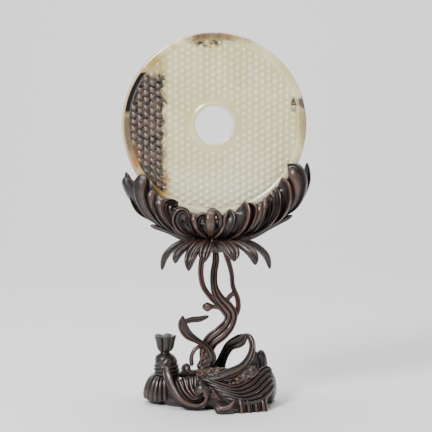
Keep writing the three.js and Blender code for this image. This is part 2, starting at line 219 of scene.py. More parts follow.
class Finish:
    """A material in the making."""

    def __init__(self, name):
        self.material = bpy.data.materials.new(name)
        self.material.use_nodes = True
        self.tree = self.material.node_tree
        self.tree.nodes.clear()
        self.place = self.node("ShaderNodeTexCoord", output="Object")

    def node(self, kind, settings=None, inputs=None, output=None):
        """Adds one node and returns its output as a wire."""
        made = self.tree.nodes.new(kind)
        for name, value in (settings or {}).items():
            setattr(made, name, value)
        for key, value in (inputs or {}).items():
            shown = [s for s in made.inputs if s.enabled]
            socket = shown[key] if isinstance(key, int) else next(s for s in shown if s.name == key)
            self.feed(socket, value)
        shown = [s for s in made.outputs if s.enabled]
        chosen = next((s for s in shown if s.name == output), shown[0] if shown else None)
        return Wire(self, chosen)

    def feed(self, socket, value):
        """Links a wire to a socket, or sets the socket's own value."""
        if isinstance(value, Wire):
            self.tree.links.new(value.socket, socket)
        elif socket.type == "RGBA":
            socket.default_value = (*tuple(value)[:3], 1)
        elif socket.type == "VECTOR" and isinstance(value, (int, float)):
            socket.default_value = (value,) * 3
        else:
            socket.default_value = value

    def blend(self, share, first, second):
        """The first colour where share is 0 and the second where it is 1."""
        return self.node(
            "ShaderNodeMix",
            {"data_type": "RGBA"},
            {"Factor": share, "A": first, "B": second},
        )

    def parts(self, vector):
        """The three parts of a vector, in millimetres."""
        split = {"Vector": vector * (1 / MM)}
        return [self.node("ShaderNodeSeparateXYZ", None, split, axis) for axis in "XYZ"]

    def clouds(self, size, stretch=(1, 1, 1), detail=3, rough=0.5, twist=0):
        """Cloudy noise from 0 to 1, with clouds about size millimetres across."""
        scaled = self.place * tuple(1 / (MM * size * s) for s in stretch)
        return self.node(
            "ShaderNodeTexNoise",
            {"noise_dimensions": "3D"},
            {
                "Vector": scaled,
                "Scale": 1,
                "Detail": detail,
                "Roughness": rough,
                "Distortion": twist,
            },
        )

    def attribute(self, name):
        """A number stored on the mesh."""
        return self.node("ShaderNodeAttribute", {"attribute_name": name}, None, "Fac")

    def bump(self, height, distance, strength=1, under=None):
        """A normal bent by a height from 0 to 1, over distance in millimetres."""
        values = {"Height": height, "Distance": distance * MM, "Strength": strength}
        if under is not None:
            values["Normal"] = under
        return self.node("ShaderNodeBump", None, values)

    def close(self, **values):
        """Ends the finish in one Principled shader with these socket values."""
        named = {key.replace("_", " "): value for key, value in values.items()}
        shader = self.node("ShaderNodeBsdfPrincipled", None, named)
        self.node("ShaderNodeOutputMaterial", None, {"Surface": shader})
        return self.material


# --- Meshes -----------------------------------------------------------------------------------


class Skin:
    """A closed skin: its points in millimetres, its faces, and how far each point is a crest."""

    def __init__(self, points, faces, crest=None, tone=0.0):
        self.points = np.asarray(points, float)
        self.faces = faces
        self.crest = np.full(len(self.points), 0.7) if crest is None else crest
        self.tone = tone

    def place(self, name):
        """The skin as a mesh object in metres."""
        mesh = bpy.data.meshes.new(name)
        mesh.from_pydata((self.points * MM).tolist(), [], self.faces)
        for key, values in (("crest", self.crest), ("tone", np.full(len(self.points), self.tone))):
            attribute = mesh.attributes.new(key, "FLOAT", "POINT")
            attribute.data.foreach_set("value", np.asarray(values, np.float32))
        made = bpy.data.objects.new(name, mesh)
        bpy.context.scene.collection.objects.link(made)
        return made


def grid_faces(rows, around, closed_rows=False):
    """Quads between rows of points that each run once around."""
    faces = []
    for i in range(rows if closed_rows else rows - 1):
        below = i * around
        above = ((i + 1) % rows) * around
        for k in range(around):
            following = (k + 1) % around
            faces.append((below + k, below + following, above + following, above + k))
    return faces


def capped(rings, crest=None, tone=0.0):
    """A skin from rings of points, closed by a fan at both ends."""
    rows, around = rings.shape[:2]
    points = np.vstack([rings.reshape(-1, 3), rings[0].mean(0), rings[-1].mean(0)])
    faces = grid_faces(rows, around)
    start, end, last = rows * around, rows * around + 1, (rows - 1) * around
    for k in range(around):
        following = (k + 1) % around
        faces.append((start, following, k))
        faces.append((end, last + k, last + following))
    if crest is not None:
        crest = np.append(crest.reshape(-1), [crest[0].mean(), crest[-1].mean()])
    return Skin(points, faces, crest, tone)


def object_points(made):
    places = np.empty(len(made.data.vertices) * 3, np.float32)
    made.data.vertices.foreach_get("co", places)
    return places.reshape(-1, 3).astype(float)


def set_points(made, places):
    made.data.vertices.foreach_set("co", places.astype(np.float32).ravel())
    made.data.update()


def cut_and_join(made, others, operation):
    """Joins the other objects to this one, or cuts them from it, and removes them."""
    tools = bpy.data.collections.new("tools")
    bpy.context.scene.collection.children.link(tools)
    for other in others:
        bpy.context.scene.collection.objects.unlink(other)
        tools.objects.link(other)
    modifier = made.modifiers.new("cut", "BOOLEAN")
    modifier.operand_type = "COLLECTION"
    modifier.collection = tools
    modifier.operation = operation
    modifier.solver = "MANIFOLD"
    seen = made.evaluated_get(bpy.context.evaluated_depsgraph_get())
    mesh = bpy.data.meshes.new_from_object(seen)
    mesh.name = made.name
    made.modifiers.clear()
    made.data = mesh
    for other in others:
        bpy.data.objects.remove(other)
    bpy.data.collections.remove(tools)


def edge_pairs(mesh):
    pairs = np.empty(len(mesh.edges) * 2, np.int32)
    mesh.edges.foreach_get("vertices", pairs)
    return pairs.reshape(-1, 2)


def keep_outer_skin(made):
    """Drops every shell but the largest, such as a sealed hollow between members."""
    pairs = edge_pairs(made.data)
    label = np.arange(len(made.data.vertices))
    while True:
        least = np.minimum(label[pairs[:, 0]], label[pairs[:, 1]])
        after = label.copy()
        np.minimum.at(after, pairs[:, 0], least)
        np.minimum.at(after, pairs[:, 1], least)
        after = after[after]
        if np.array_equal(after, label):
            break
        label = after
    names, counts = np.unique(label, return_counts=True)
    largest = names[counts.argmax()]
    select(made, label != largest)
    return len(names) - 1


def select(made, unwanted):
    """Deletes the unwanted points of a mesh."""
    skin = bmesh.new()
    skin.from_mesh(made.data)
    skin.verts.ensure_lookup_table()
    bmesh.ops.delete(skin, geom=[skin.verts[i] for i in np.flatnonzero(unwanted)], context="VERTS")
    skin.to_mesh(made.data)
    skin.free()


def triangulated(made):
    skin = bmesh.new()
    skin.from_mesh(made.data)
    bmesh.ops.triangulate(skin, faces=skin.faces[:])
    skin.to_mesh(made.data)
    skin.free()


def store_hollows(made, reach):
    """Stores how far each point lies in a hollow, from -1 on a ridge to 1 in a crease."""
    mesh = made.data
    places = object_points(made)
    normals = np.empty(len(places) * 3, np.float32)
    mesh.vertices.foreach_get("normal", normals)
    normals = normals.reshape(-1, 3).astype(float)
    a, b = edge_pairs(mesh).T
    away = places[b] - places[a]
    size = np.maximum((away**2).sum(1), (0.2 * MM) ** 2)
    bend = -((normals[b] - normals[a]) * away).sum(1) / size
    total = np.zeros(len(places))
    count = np.zeros(len(places))
    for end in (a, b):
        np.add.at(total, end, bend)
        np.add.at(count, end, 1)
    value = total / np.maximum(count, 1) * reach
    for _ in range(2):
        total = value * 2
        count = np.full(len(places), 2.0)
        for one, other in ((a, b), (b, a)):
            np.add.at(total, one, value[other])
            np.add.at(count, one, 1)
        value = total / count
    attribute = mesh.attributes.new("hollow", "FLOAT", "POINT")
    attribute.data.foreach_set("value", np.clip(value, -1, 1).astype(np.float32))


def settled(made, body, node, material, crease):
    """Gives a finished piece its material, its crisp creases and its place in the frame."""
    made.data.materials.clear()
    made.data.materials.append(material)
    made.data.shade_smooth()
    made.data.set_sharp_from_angle(angle=math.radians(crease))
    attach(made, body)
    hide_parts(node)


# --- Carved members ---------------------------------------------------------------------------

SMOOTH = (0, 0.85, 1, 0.85, 0)
ROUND = (0, 0.87, 0.87, 0)
FOLD = (0.5, 1, 0.45, 0.15)
UNFOLD = FOLD[::-1]
SPOON = (0.25, 0.95, 1, 0.78, 0.46, 0.3, 0.26, 0.3, 0.4, 0.34, 0.05)
BULGE = (0.3, 0.8, 0.62, 0.4, 0.74, 0.96, 1, 0.92, 0.68, 0.32, 0.05)
BLADE = (0.45, 0.62, 0.6, 0.66, 0.85, 1, 0.62, 0.22, 0.5, 0.62, 0.1)
RIBBED = (0.3, 1, 0.55, 0.82, 0.36, 0.66, 0.28, 0.5, 0.2, 0.36, 0.05)
PAIR = (0.3, 1, 0.45, 1, 0.3)


def spline(points, share):
    """Places and directions along the curve through the points, at shares of its length."""
    points = np.asarray(points, float)
    last = len(points) - 1
    padded = np.vstack([2 * points[0] - points[1], points, 2 * points[-1] - points[-2]])
    place = np.clip(share, 0, 1) * last
    i = np.minimum(place.astype(int), last - 1)
    w = (place - i)[:, None]
    p0, p1, p2, p3 = (padded[i + k] for k in range(4))
    d0, d1, d2 = (
        np.sqrt(np.linalg.norm(end - start, axis=1))[:, None]
        for start, end in ((p0, p1), (p1, p2), (p2, p3))
    )
    m1 = ((p1 - p0) / d0 - (p2 - p0) / (d0 + d1) + (p2 - p1) / d1) * d1
    m2 = ((p2 - p1) / d1 - (p3 - p1) / (d1 + d2) + (p3 - p2) / d2) * d1
    c2 = 3 * (p2 - p1) - 2 * m1 - m2
    c3 = 2 * (p1 - p2) + m1 + m2
    direction = m1 + 2 * c2 * w + 3 * c3 * w**2
    direction /= np.linalg.norm(direction, axis=1)[:, None]
    return p1 + m1 * w + c2 * w**2 + c3 * w**3, direction


def along(values, share):
    """Values spaced evenly along a member, and a smooth curve between them."""
    values = np.asarray(values, float)
    if len(values) == 1:
        return np.full(len(share), values[0])
    padded = np.concatenate([[2 * values[0] - values[1]], values, [2 * values[-1] - values[-2]]])
    place = np.clip(share, 0, 1) * (len(values) - 1)
    i = np.minimum(place.astype(int), len(values) - 2)
    w = place - i
    p0, p1, p2, p3 = (padded[i + k] for k in range(4))
    m1, m2 = (p2 - p0) / 2, (p3 - p1) / 2
    return p1 + m1 * w + (3 * (p2 - p1) - 2 * m1 - m2) * w**2 + (2 * (p1 - p2) + m1 + m2) * w**3


def unit(vectors):
    return vectors / np.linalg.norm(vectors, axis=-1, keepdims=True)


def member(
    path,
    wide,
    deep,
    face=(0, -1, 0),
    across=None,
    roll=(0,),
    relief=SMOOTH,
    strands=3,
    groove=0.35,
    blunt=(0.1, 0.12),
    lip=0,
    bumps=0,
    stride=1.6,
    fine=7,
    rear=8,
    tone=0.0,
):
    """One carved member: a ridged section swept along a spine.

    relief holds the heights across the carved side, and strands the number of rounded ridges
    that the carver cut along it, with grooves of that share of the height between them. A lip
    is a rounded edge raised across the end, this share of the length from it, and bumps is the
    height of the small knobs that roughen the carved side.
    """
    density = bpy.context.scene.bi_stand.density
    path = np.asarray(path, float)
    run = np.linalg.norm(np.diff(path, axis=0), axis=1).sum()
    count = max(10, int(run / stride * density))
    even = np.linspace(0, 1, count + 1)
    share = 0.55 * even + 0.45 * (1 - np.cos(np.pi * even)) / 2
    centre, tangent = spline(path, share)
    if across is None:
        side = unit(np.cross(np.asarray(face, float), tangent))
    else:
        across = np.asarray(across, float)
        side = unit(across - tangent * (tangent @ across)[:, None])
    out = np.cross(tangent, side)
    turn = np.radians(along(roll, share))[:, None]
    side, out = side * np.cos(turn) + out * np.sin(turn), out * np.cos(turn) - side * np.sin(turn)

    ridge_points = max(4, round(fine * density))
    front = np.linspace(0, np.pi, strands * ridge_points + 1)
    back = np.linspace(np.pi, 2 * np.pi, rear + 1)[1:-1]
    within = np.abs((front / np.pi * strands) % 1 * 2 - 1)
    ridge = (1 - within**2.4) ** 0.55
    ridge[[0, -1]] = 0.3
    height = np.clip(along(relief, front / np.pi), 0, None) * (1 - groove * (1 - ridge))
    height = np.tile(height, (len(share), 1))
    if lip:
        edge = np.exp(-((((1 - share) - lip) / (0.7 * lip)) ** 2))[:, None]
        height += edge * np.clip(0.95 - height, 0, 1) * np.sin(front) ** 0.3
    u = np.concatenate([np.cos(front), np.cos(back)])
    v = np.hstack([height, np.tile(np.sin(back), (len(share), 1))])
    # The crest share: where the wood shows wear and a painted highlight, most on the highest ridges.
    wear_and_highlight = (1 - (1 - ridge) * min(1, 3 * groove)) * (0.15 + 0.85 * np.clip(height, 0, 1) ** 1.5)
    crest = np.hstack([wear_and_highlight, np.full((len(share), len(back)), 0.3)])

    from_start = np.clip((share + 1e-4) / blunt[0], 0, 1)
    from_end = np.clip((1.0001 - share) / blunt[1], 0, 1)
    full = np.sqrt(from_start * (2 - from_start) * from_end * (2 - from_end))
    half_wide = (along(wide, share) / 2 * full)[:, None, None]
    half_deep = (along(deep, share) / 2 * full)[:, None, None]
    if bumps:
        x, z = half_wide[:, :, 0] * u[None, :], (share * run)[:, None]
        knobs = np.sin(1.2 * z + 1.3 * np.sin(1.1 * x)) * np.cos(1.3 * x + 0.9 * np.sin(0.8 * z))
        v = v + bumps * knobs * np.clip(v, 0, 1) / np.maximum(half_deep[:, :, 0], 1)
        crest = np.clip(crest + 0.35 * knobs, 0, 1)
    rings = (
        centre[:, None]
        + side[:, None] * half_wide * u[None, :, None]
        + out[:, None] * half_deep * v[:, :, None]
    )
    return capped(rings, crest, tone)


def mix(a, b, share):
    return a + (b - a) * share


def by_disc(angle, radius, y):
    """A place in the disc's plane by angle and radius, at depth y."""
    a = math.radians(angle)
    return [radius * math.cos(a), y, DISC_MIDDLE.z / MM + radius * math.sin(a)]


CRADLE_FOOT = 268


def crescent(cradle):
    """The curved bed below the disc that all the leaves grow from."""
    knots = (-58, -48, -30, 0, 32, 52, 64)
    return member(
        [by_disc(CRADLE_FOOT + k, cradle - 8, 0) for k in knots],
        [13, 20, 22, 23, 22, 20, 13],
        [7, 14, 17, 18, 17, 14, 7],
        across=(0, 1, 0),
        relief=ROUND,
        blunt=(0.05, 0.05),
        strands=5,
        groove=0.1,
    )


# The angle and radius of each tip, the lobe's width, how far its tip leans to the middle in
# degrees, the tip's share of the width, the share of the length rounded off there, and the relief.
FRONT_LOBES = (
    (217, 69.5, 14, -1, 0.25, 0.18, BLADE),
    (225, 73, 9, 1, 0.6, 0.12, BULGE),
    (233, 73.5, 12, 0, 1.1, 0.05, BULGE),
    (240, 70, 14, 5, 0.2, 0.08, RIBBED),
    (256, 75, 8, 0, 0.9, 0.12, BULGE),
    (279.5, 72.5, 13, 1.5, 1, 0.14, SPOON[::-1]),
    (290, 69.5, 14.5, 1.5, 0.9, 0.16, SPOON),
    (296.5, 71, 9, 2.5, 0.7, 0.1, SPOON),
    (301.5, 74.5, 9, 0, 0.8, 0.1, BULGE),
    (305.5, 73.5, 7, 0, 0.5, 0.12, BULGE),
    (311, 73, 13.5, 0.5, 1.1, 0.05, RIBBED),
    (320, 72.5, 13, 1, 0.95, 0.08, SPOON),
    (331.5, 71, 14.5, 2, 0.8, 0.13, BULGE),
)
BACK_LOBES = tuple(
    (angle, 73, 16, 0, 1, 0.14, SPOON) for angle in (223, 234, 247, 262, 278, 294, 310, 326)
)


def lobe(cradle, shape, side):
    """One lobe. It runs out along the bed from its foot, then turns in and up to its tip."""
    tip_angle, tip_radius, width, lean, tip, rounded, relief = shape
    reach = tip_angle - CRADLE_FOOT
    outward = 1 if reach > 0 else -1
    far = abs(reach) / (62 if outward > 0 else 90)

    def place(share, rise, y):
        return by_disc(CRADLE_FOOT + reach * share, mix(cradle, tip_radius, rise), side * y)

    return member(
        [
            place(mix(0.32, 0.58, far), 0.05, 6),
            place(mix(0.55, 0.75, far), mix(0.27, 0.08, far), 10),
            place(mix(0.81, 0.9, far), mix(0.58, 0.4, far), 13),
            place(mix(0.95, 0.98, far), 0.8, 12.5),
            place(1 - lean / abs(reach), 1, 7.5),
        ],
        [width * k for k in (0.25, 0.55, 0.9, 1.05, tip)],
        [5, 8, 11, 11.5, 8],
        face=(0, side, 0),
        roll=(0, side * outward * 22, side * outward * 14),
        relief=relief if outward * side > 0 else relief[::-1],
        blunt=(0.1, rounded),
        lip=0.08,
        strands=1,
        groove=0,
        fine=24,
        stride=1.3,
    )


def end_leaf(cradle, tip_angle, tip_radius, bow):
    """A slender leaf that closes the cradle at one end, in the disc's own plane."""

    def place(share, radius, y):
        return by_disc(mix(CRADLE_FOOT, tip_angle, share), radius, y)

    return member(
        [
            place(0.4, cradle - 3, -3),
            place(0.66, cradle - 1, -3),
            place(0.86, mix(cradle - 1, tip_radius, bow), -2),
            place(1, tip_radius, 0),
        ],
        [4, 6.5, 7, 3],
        [5, 9, 8, 3],
        roll=(0, 10),
        relief=(0.7, 1, 0.55, 0.9, 0.5),
        strands=3,
        groove=0.55,
    )


def curls(foot):
    """The middle of the cradle: two curls that wind to an eye, and the bud in its cup."""
    front = -13
    fluted = dict(relief=FOLD, strands=4, groove=0.5)
    plump = dict(relief=SMOOTH, strands=1, groove=0, fine=16)
    thin = dict(relief=ROUND, strands=1, groove=0, fine=10)
    shapes = (
        (
            ((-17, 5, 6), (-27, 1, 11), (-31.5, 0, 19), (-28.5, -1, 26.5), (-23.5, -1, 27),
             (-20.8, 0, 21), (-23.5, 1, 16.5)),
            (4, 8, 9.5, 8.5, 6, 5, 5),
            (4, 7, 8, 8, 7, 6, 5),
            fluted,
        ),
        (
            ((-3, 5, 4), (-9.5, 0, 9), (-13, 0, 15), (-12.5, -1, 21.5), (-8.5, -1, 23.5),
             (-6, 0, 20), (-7.5, 1, 17)),
            (3, 4, 5, 6, 5.5, 4.5, 4.5),
            (4, 6, 7, 7.5, 7, 6, 5),
            dict(fluted, strands=2),
        ),
        (
            ((-3, 4, 6), (-2.5, -3, 11), (-2.8, -5, 17), (-3, -4, 22), (-1.5, 2, 26.5)),
            (3, 6, 8.5, 8.5, 7),
            (4, 6, 9, 9.5, 7),
            plump,
        ),
        (
            ((-2, 5, 4), (4, 0, 8.5), (8, 0, 15), (8.5, -1, 21), (11, -1, 26)),
            (3, 3.5, 3.5, 3.5, 4),
            (4, 7, 7, 7, 6),
            thin,
        ),
        (
            ((4.5, 1, 13), (5.5, 0, 19), (3.5, 0, 24.5), (-1.5, 1, 27.5), (-5, 4, 25)),
            (3, 4.5, 4.5, 4.5, 4),
            (5, 7, 7, 7, 6),
            thin,
        ),
    )
    return [
        member([(px, front + py, foot + pz) for px, py, pz in path], wide, deep, stride=1.1, **cut)
        for path, wide, deep, cut in shapes
    ]


def tendrils(foot):
    """The thin leaves that stand out level below the cradle."""
    paths = (
        ((-14, -6, 2.5), (-25, -7, 4.5), (-37, -7, 9.5), (-52, -5, 14.5)),
        ((16, -6, 2.5), (31, -7, 6), (47, -6, 14), (64, -3, 22.5)),
    )
    return [
        member(
            [(px, py, pz + foot) for px, py, pz in path],
            (6, 6, 4.5, 4.5),
            (5, 5, 4, 4),
            face=(0, -0.7, -0.7),
            relief=ROUND,
            strands=2,
        )
        for path in paths
    ]


SEPALS = (
    (183, 43, 23, 11),
    (214, 38, 15, 10),
    (236, 36.5, 20, 11),
    (256, 34, 13, 11),
    (297, 36, 12, 13),
    (325, 41, 16, 12),
    (357, 46, 22, 12),
    (32, 38, 19, 13),
    (68, 36, 18, 13),
    (106, 36, 18, 13),
    (145, 38, 19, 13),
)


def sepal(foot, shape):
    """A drooping leaf under the cradle: its direction from above, reach, drop and width."""
    direction, reach, drop, width = shape
    a = math.radians(direction)

    def at(share, z):
        return (reach * share * math.cos(a), reach * share * math.sin(a), foot + z)

    return member(
        [
            at(0.28, -0.5),
            at(0.54, 0.3),
            at(0.78, -drop * 0.2),
            at(0.94, -drop * 0.55),
            at(1, -drop),
        ],
        [7, width * 0.85, width, width * 0.85, 2.5],
        [6, 5.5, 5.5, 5.5, 3],
        face=(0.4 * math.cos(a), 0.4 * math.sin(a), 1),
        relief=(0.6, 0.95, 0.75, 0.95, 0.6),
        strands=5,
        groove=0.6,
        blunt=(0.04, 0.12),
        stride=1.2,
    )


def crown(foot):
    """The crown where cradle, sepals and stems meet."""
    return member(
        [(0, 0, foot - 9), (0, 0, foot - 3), (0, 0, foot + 6), (0, 0, foot + 12)],
        [16, 28, 24, 18],
        [14, 22, 14, 10],
        strands=7,
        groove=0.12,
        rear=20,
    )


STEMS = (
    dict(
        path=(
            (1, 0, 130), (1.4, 0, 119), (-0.2, -1, 108), (0.4, -3, 97), (4, -5, 88.5),
            (10, -5, 81.5), (14, -4, 75), (12, -5, 67), (5.5, -8, 60), (-2, -8, 54),
            (-6, -3, 45), (-5, 3, 32), (-4, 5, 14),
        ),
        wide=(7, 6, 6, 6.5, 9, 11, 10.5, 11, 12.5, 12.5, 12, 14, 20),
        deep=(7, 6, 6, 6, 7, 7, 7, 7, 7, 7, 9, 13, 20),
        relief=(0.5, 0.95, 1, 0.95, 0.5),
        strands=4,
        groove=0.45,
        tone=0.1,
    ),
    dict(
        path=(
            (-8, 1, 129), (-10.7, 2, 114), (-10.7, 3, 105), (-8.5, 3, 96), (-2, 3, 87),
            (6, 4, 79), (11, 3, 70),
        ),
        wide=(5, 4.4),
        deep=(5, 4.5),
        relief=ROUND,
        strands=2,
        tone=1,
    ),
    dict(
        path=(
            (8, 1, 129), (12, 2, 117), (14.5, 3, 107), (15.5, 3, 97), (19.5, 2, 86),
            (19.5, 1, 78), (14, 0, 67),
        ),
        wide=(5, 4, 4.4, 5),
        deep=(5, 4, 4.5, 5),
        relief=ROUND,
        strands=2,
        tone=1,
    ),
    dict(
        path=((16.5, 2, 92), (12.5, 0, 88.5), (9, -2, 84)),
        wide=(4, 4),
        deep=(4, 4),
        relief=ROUND,
        strands=1,
    ),
)

SHOOTS = (
    dict(
        path=((-9.8, -4, 81.5), (-5.6, -4, 81), (-1.2, -3, 81), (5, -3, 79.5), (10, -3, 73)),
        wide=(3, 8, 4, 3.6, 3.6),
        deep=(3, 8, 4, 3.6, 3.6),
        blunt=(0.03, 0.1),
        strands=1,
        fine=14,
        stride=0.7,
    ),
    dict(
        path=(
            (-25.5, -13, 75.5), (-25.5, -14, 67.5), (-21.5, -14, 60), (-13, -14, 54.5),
            (-5, -14, 48.5), (-2, -14, 41), (-4.5, -13, 33.5), (-12, -13, 28.5),
            (-20, -13, 28), (-23, -13, 31.5), (-19.5, -13, 34),
        ),
        wide=(3, 8, 8, 5, 5.5, 8, 8, 6, 6, 8, 6),
        deep=(2.5, 4, 5, 6, 7, 7, 7, 7, 8, 8, 6),
        relief=UNFOLD,
        blunt=(0.06, 0.06),
        strands=3,
    ),
    dict(
        path=((-4, -5, 73.5), (-12, -8, 71.5), (-18, -11, 71.5), (-25, -13, 70)),
        wide=(2.5, 5, 5, 4),
        deep=(2.5, 4, 4, 4),
        relief=ROUND,
        strands=2,
    ),
    dict(
        path=((-6, -9, 51), (-15, -11, 47.5), (-18.5, -12, 41), (-18, -12, 33)),
        wide=(4, 3.4, 3.4, 4),
        deep=(4, 4, 4, 4),
        relief=ROUND,
        strands=1,
    ),
)

SCROLLS = (
    dict(
        path=(
            (-40, -12, 33), (-38, -17, 25.5), (-33, -22, 15), (-27, -26, 8), (-18, -28, 4),
            (-9.5, -28, 4.5), (-5.2, -28, 10.5), (-6.8, -28, 17), (-10, -28.5, 19),
            (-12.8, -28.5, 16), (-10.6, -28.5, 13),
        ),
        wide=(5, 6.5, 6.5, 5.5, 4.5, 4.5, 4.5, 6, 7, 6, 4),
        deep=(6, 8, 9, 9, 9, 9, 9, 9, 9, 8, 6),
        relief=(0.75, 0.9, 0.85, 0.55, 0.7),
        blunt=(0.05, 0.05),
        strands=1,
        groove=0,
        fine=14,
        stride=1,
    ),
)
FLUTES = (
    ((-31, -14, 23), (-25.5, -21, 12.5), (-17.5, -25, 7), (-7.5, -26, 9.5)),
    ((-17, -13, 26), (-16.5, -19, 15.5), (-12.5, -23, 11), (-7.5, -25, 12)),
)


def flute(share):
    """One of the ridges inside the scroll, between the outermost and the innermost."""
    outer, inner = (np.asarray(path, float) for path in FLUTES)
    return member(
        mix(outer, inner, share),
        (5, 6, 5, 3),
        (7, 8, 8, 6),
        face=(0.1, -1, 0.3),
        relief=FOLD,
        strands=2,
        groove=0.5,
        stride=1.2,
    )


GREAT_LEAF = (
    dict(
        path=(
            (-12, -20, 23.5), (0, -21, 25.5), (13, -20, 29.5), (23, -17, 34), (29, -13, 41),
            (31.5, -8, 49), (29.5, -4, 55.5), (25.8, -3, 59),
        ),
        wide=(7, 8, 8, 7, 6, 5.5, 5, 2),
        deep=(8, 8, 7, 7, 6, 6, 5, 2),
        relief=UNFOLD,
        strands=3,
        groove=0.4,
        stride=1.2,
    ),
    dict(
        path=(
            (26.5, -2, 58), (22, 0, 52.5), (13.5, 3, 47.5), (9, 6, 40), (5.5, 7, 31), (3, 6, 20),
        ),
        wide=(4, 11, 9, 8, 9, 12),
        deep=(3, 4.5, 5, 5, 6, 10),
        face=(-0.3, -1, 0.4),
        relief=PAIR,
        strands=4,
    ),
)

FRONT_WAVES = (
    (
        (-12, -20, 25), (4, -25, 19.5), (17, -27, 17), (29, -22, 21), (36.5, -14, 27.5),
        (43, -8, 30.5), (47.5, -5, 27.5),
    ),
    (
        (6, -28, 10), (16, -32, 9), (26, -33, 7.5), (36, -29, 8.5), (43, -21, 12),
        (48, -12, 15.5), (50, -6, 14),
    ),
)
BACK_WAVES = (
    ((-32, 17, 21), (-13, 23, 19), (10, 24, 19), (28, 20, 24), (38, 15, 32)),
    ((-42, 16, 6), (-18, 29, 6), (12, 31, 5), (34, 26, 7), (47, 16, 14)),
)


def wave(pair, share, face):
    """One of the long waves that sweep to the right, between the highest and the lowest."""
    top, low = (np.asarray(path, float) for path in pair)
    return member(
        mix(top, low, share),
        (4, 5.5, 6, 6, 5.5, 4, 3),
        (8, 9, 9, 9, 8, 6, 4),
        face=face,
        relief=(0.1, 0.7, 1, 0.6, 0.2),
        strands=2,
        groove=0.5,
        stride=1.3,
    )


ROUGH_LEAVES = (
    ((-15, -15, 27), (-4, -18, 28.5), (8, -18, 28), (19, -16, 27)),
    ((14, -17, 20), (22, -19, 24), (30, -17, 28.5), (35, -12, 31)),
    ((-9, -12, 49), (-6.5, -13, 42), (-8, -13, 35), (-13, -12, 31)),
    ((-24, -14, 8), (-8, -24, 14), (6, -25, 12), (14, -24, 9)),
)


def rough_leaf(path):
    """A leaf whose face is left rough by the gouge, tucked in between the smooth ones."""
    return member(
        path,
        (5, 9, 10, 6),
        (5, 8, 8, 5),
        face=(0, -1, 0.4),
        relief=(0.4, 0.9, 0.8, 1, 0.5),
        strands=1,
        groove=0,
        bumps=1,
        fine=28,
        stride=0.8,
    )


def rib_fan(crest, middle, reach, start, end, count, width, floor):
    """A ribbed mound: ribs that fall from one crest to the ground all round, like a shell."""
    ribs = []
    for i in range(count):
        a = math.radians(mix(start, end, i / (count - 1)))
        foot = (middle[0] + reach[0] * math.cos(a), middle[1] + reach[1] * math.sin(a))
        ribs.append(
            member(
                [
                    crest,
                    (mix(crest[0], foot[0], 0.62), mix(crest[1], foot[1], 0.62), crest[2] * 0.9),
                    (*foot, crest[2] * 0.45),
                    (*foot, floor),
                ],
                (3, width, width * 1.15, width),
                (6, 9, 8, 8),
                face=(math.cos(a), math.sin(a), 0.6),
                relief=ROUND,
                strands=2,
                groove=0.35,
            )
        )
    return ribs


def turned(profile, foot, around, shape):
    """A turned body whose points are moved by a function of their place."""
    profile = np.asarray(profile, float)
    radius, height = profile.T
    turn = np.linspace(0, 2 * np.pi, around, endpoint=False)
    rings = np.stack(
        [
            radius[:, None] * np.cos(turn),
            radius[:, None] * np.sin(turn),
            np.broadcast_to(height[:, None], (len(height), around)),
        ],
        axis=-1,
    )
    skin = capped(shape(rings) + np.asarray(foot, float))
    skin.crest = np.full(len(skin.points), 0.55)
    return skin


def post():
    """The lotus bud on its ringed foot at the left of the rockwork."""
    neck = 30
    lobes = 5
    knots = [
        (0.2, 0), (9.6, 0.2), (9.8, 8), (9.6, 11.4), (10.7, 12.4), (10.7, 13.6), (9.8, 14.4),
        (10.6, 15.4), (10.6, 16.6), (9.6, 17.4), (10.2, 18.4), (10.2, 19.4), (9.2, 20.4),
        (9.3, 22), (8.8, 24.5), (7.6, 27), (4.8, neck - 0.8), (3.8, neck + 0.4), (5.4, neck + 2),
        (6.6, neck + 5), (7.3, neck + 9), (8.3, neck + 12), (7.8, neck + 13), (4, neck + 11.4),
        (0.2, neck + 10.6),
    ]
    share = np.linspace(0, 1, 5 * len(knots))
    profile = np.stack([along([k[i] for k in knots], share) for i in (0, 1)], axis=1)
    profile[:, 0] = np.clip(profile[:, 0], 0.05, 10.8)

    def shape(rings):
        x, y, z = np.moveaxis(rings, -1, 0)
        turn = np.arctan2(-y, x)
        petal = np.abs(np.cos(lobes / 2 * turn)) ** 0.5
        above = np.clip((z - neck) / 3, 0, 1)
        drape = np.clip((z - 20) / 3, 0, 1) * np.clip((neck - z) / 3, 0, 1)
        fold = 0.09 * drape * (np.abs(np.sin(2.5 * turn + 0.35 * z)) ** 0.6 - 0.7)
        ridge = 1 + above * 0.42 * (petal - 0.7) + fold
        lean = -3 * np.clip(z / neck, 0, 1)
        rise = above * np.clip(z - neck - 9, 0, 3) * 0.5 * petal
        return np.stack([x * ridge + lean, y * ridge, z + rise], axis=-1)

    return turned(profile, (-37.5, 2, 12), 110, shape)


ROCKS = (
    ((33, 6, 31), (5.5, 7, 12)),
    ((39, 9, 29), (5.5, 7, 14)),
    ((44, 6, 12), (8, 15, 15)),
)


def rock(centre, size):
    """A rounded rock with shallow upright flutes."""
    share = np.linspace(0.001, 0.999, 30)
    profile = np.stack([np.sin(np.pi * share), -np.cos(np.pi * share)], axis=1)

    def shape(rings):
        x, y, z = np.moveaxis(rings, -1, 0)
        flute = 1 - 0.1 * (1 - np.abs(np.cos(3.5 * np.arctan2(y, x))) ** 0.6)
        return np.stack([x * flute * size[0], y * flute * size[1], z * size[2]], axis=-1)

    return turned(profile, centre, 48, shape)


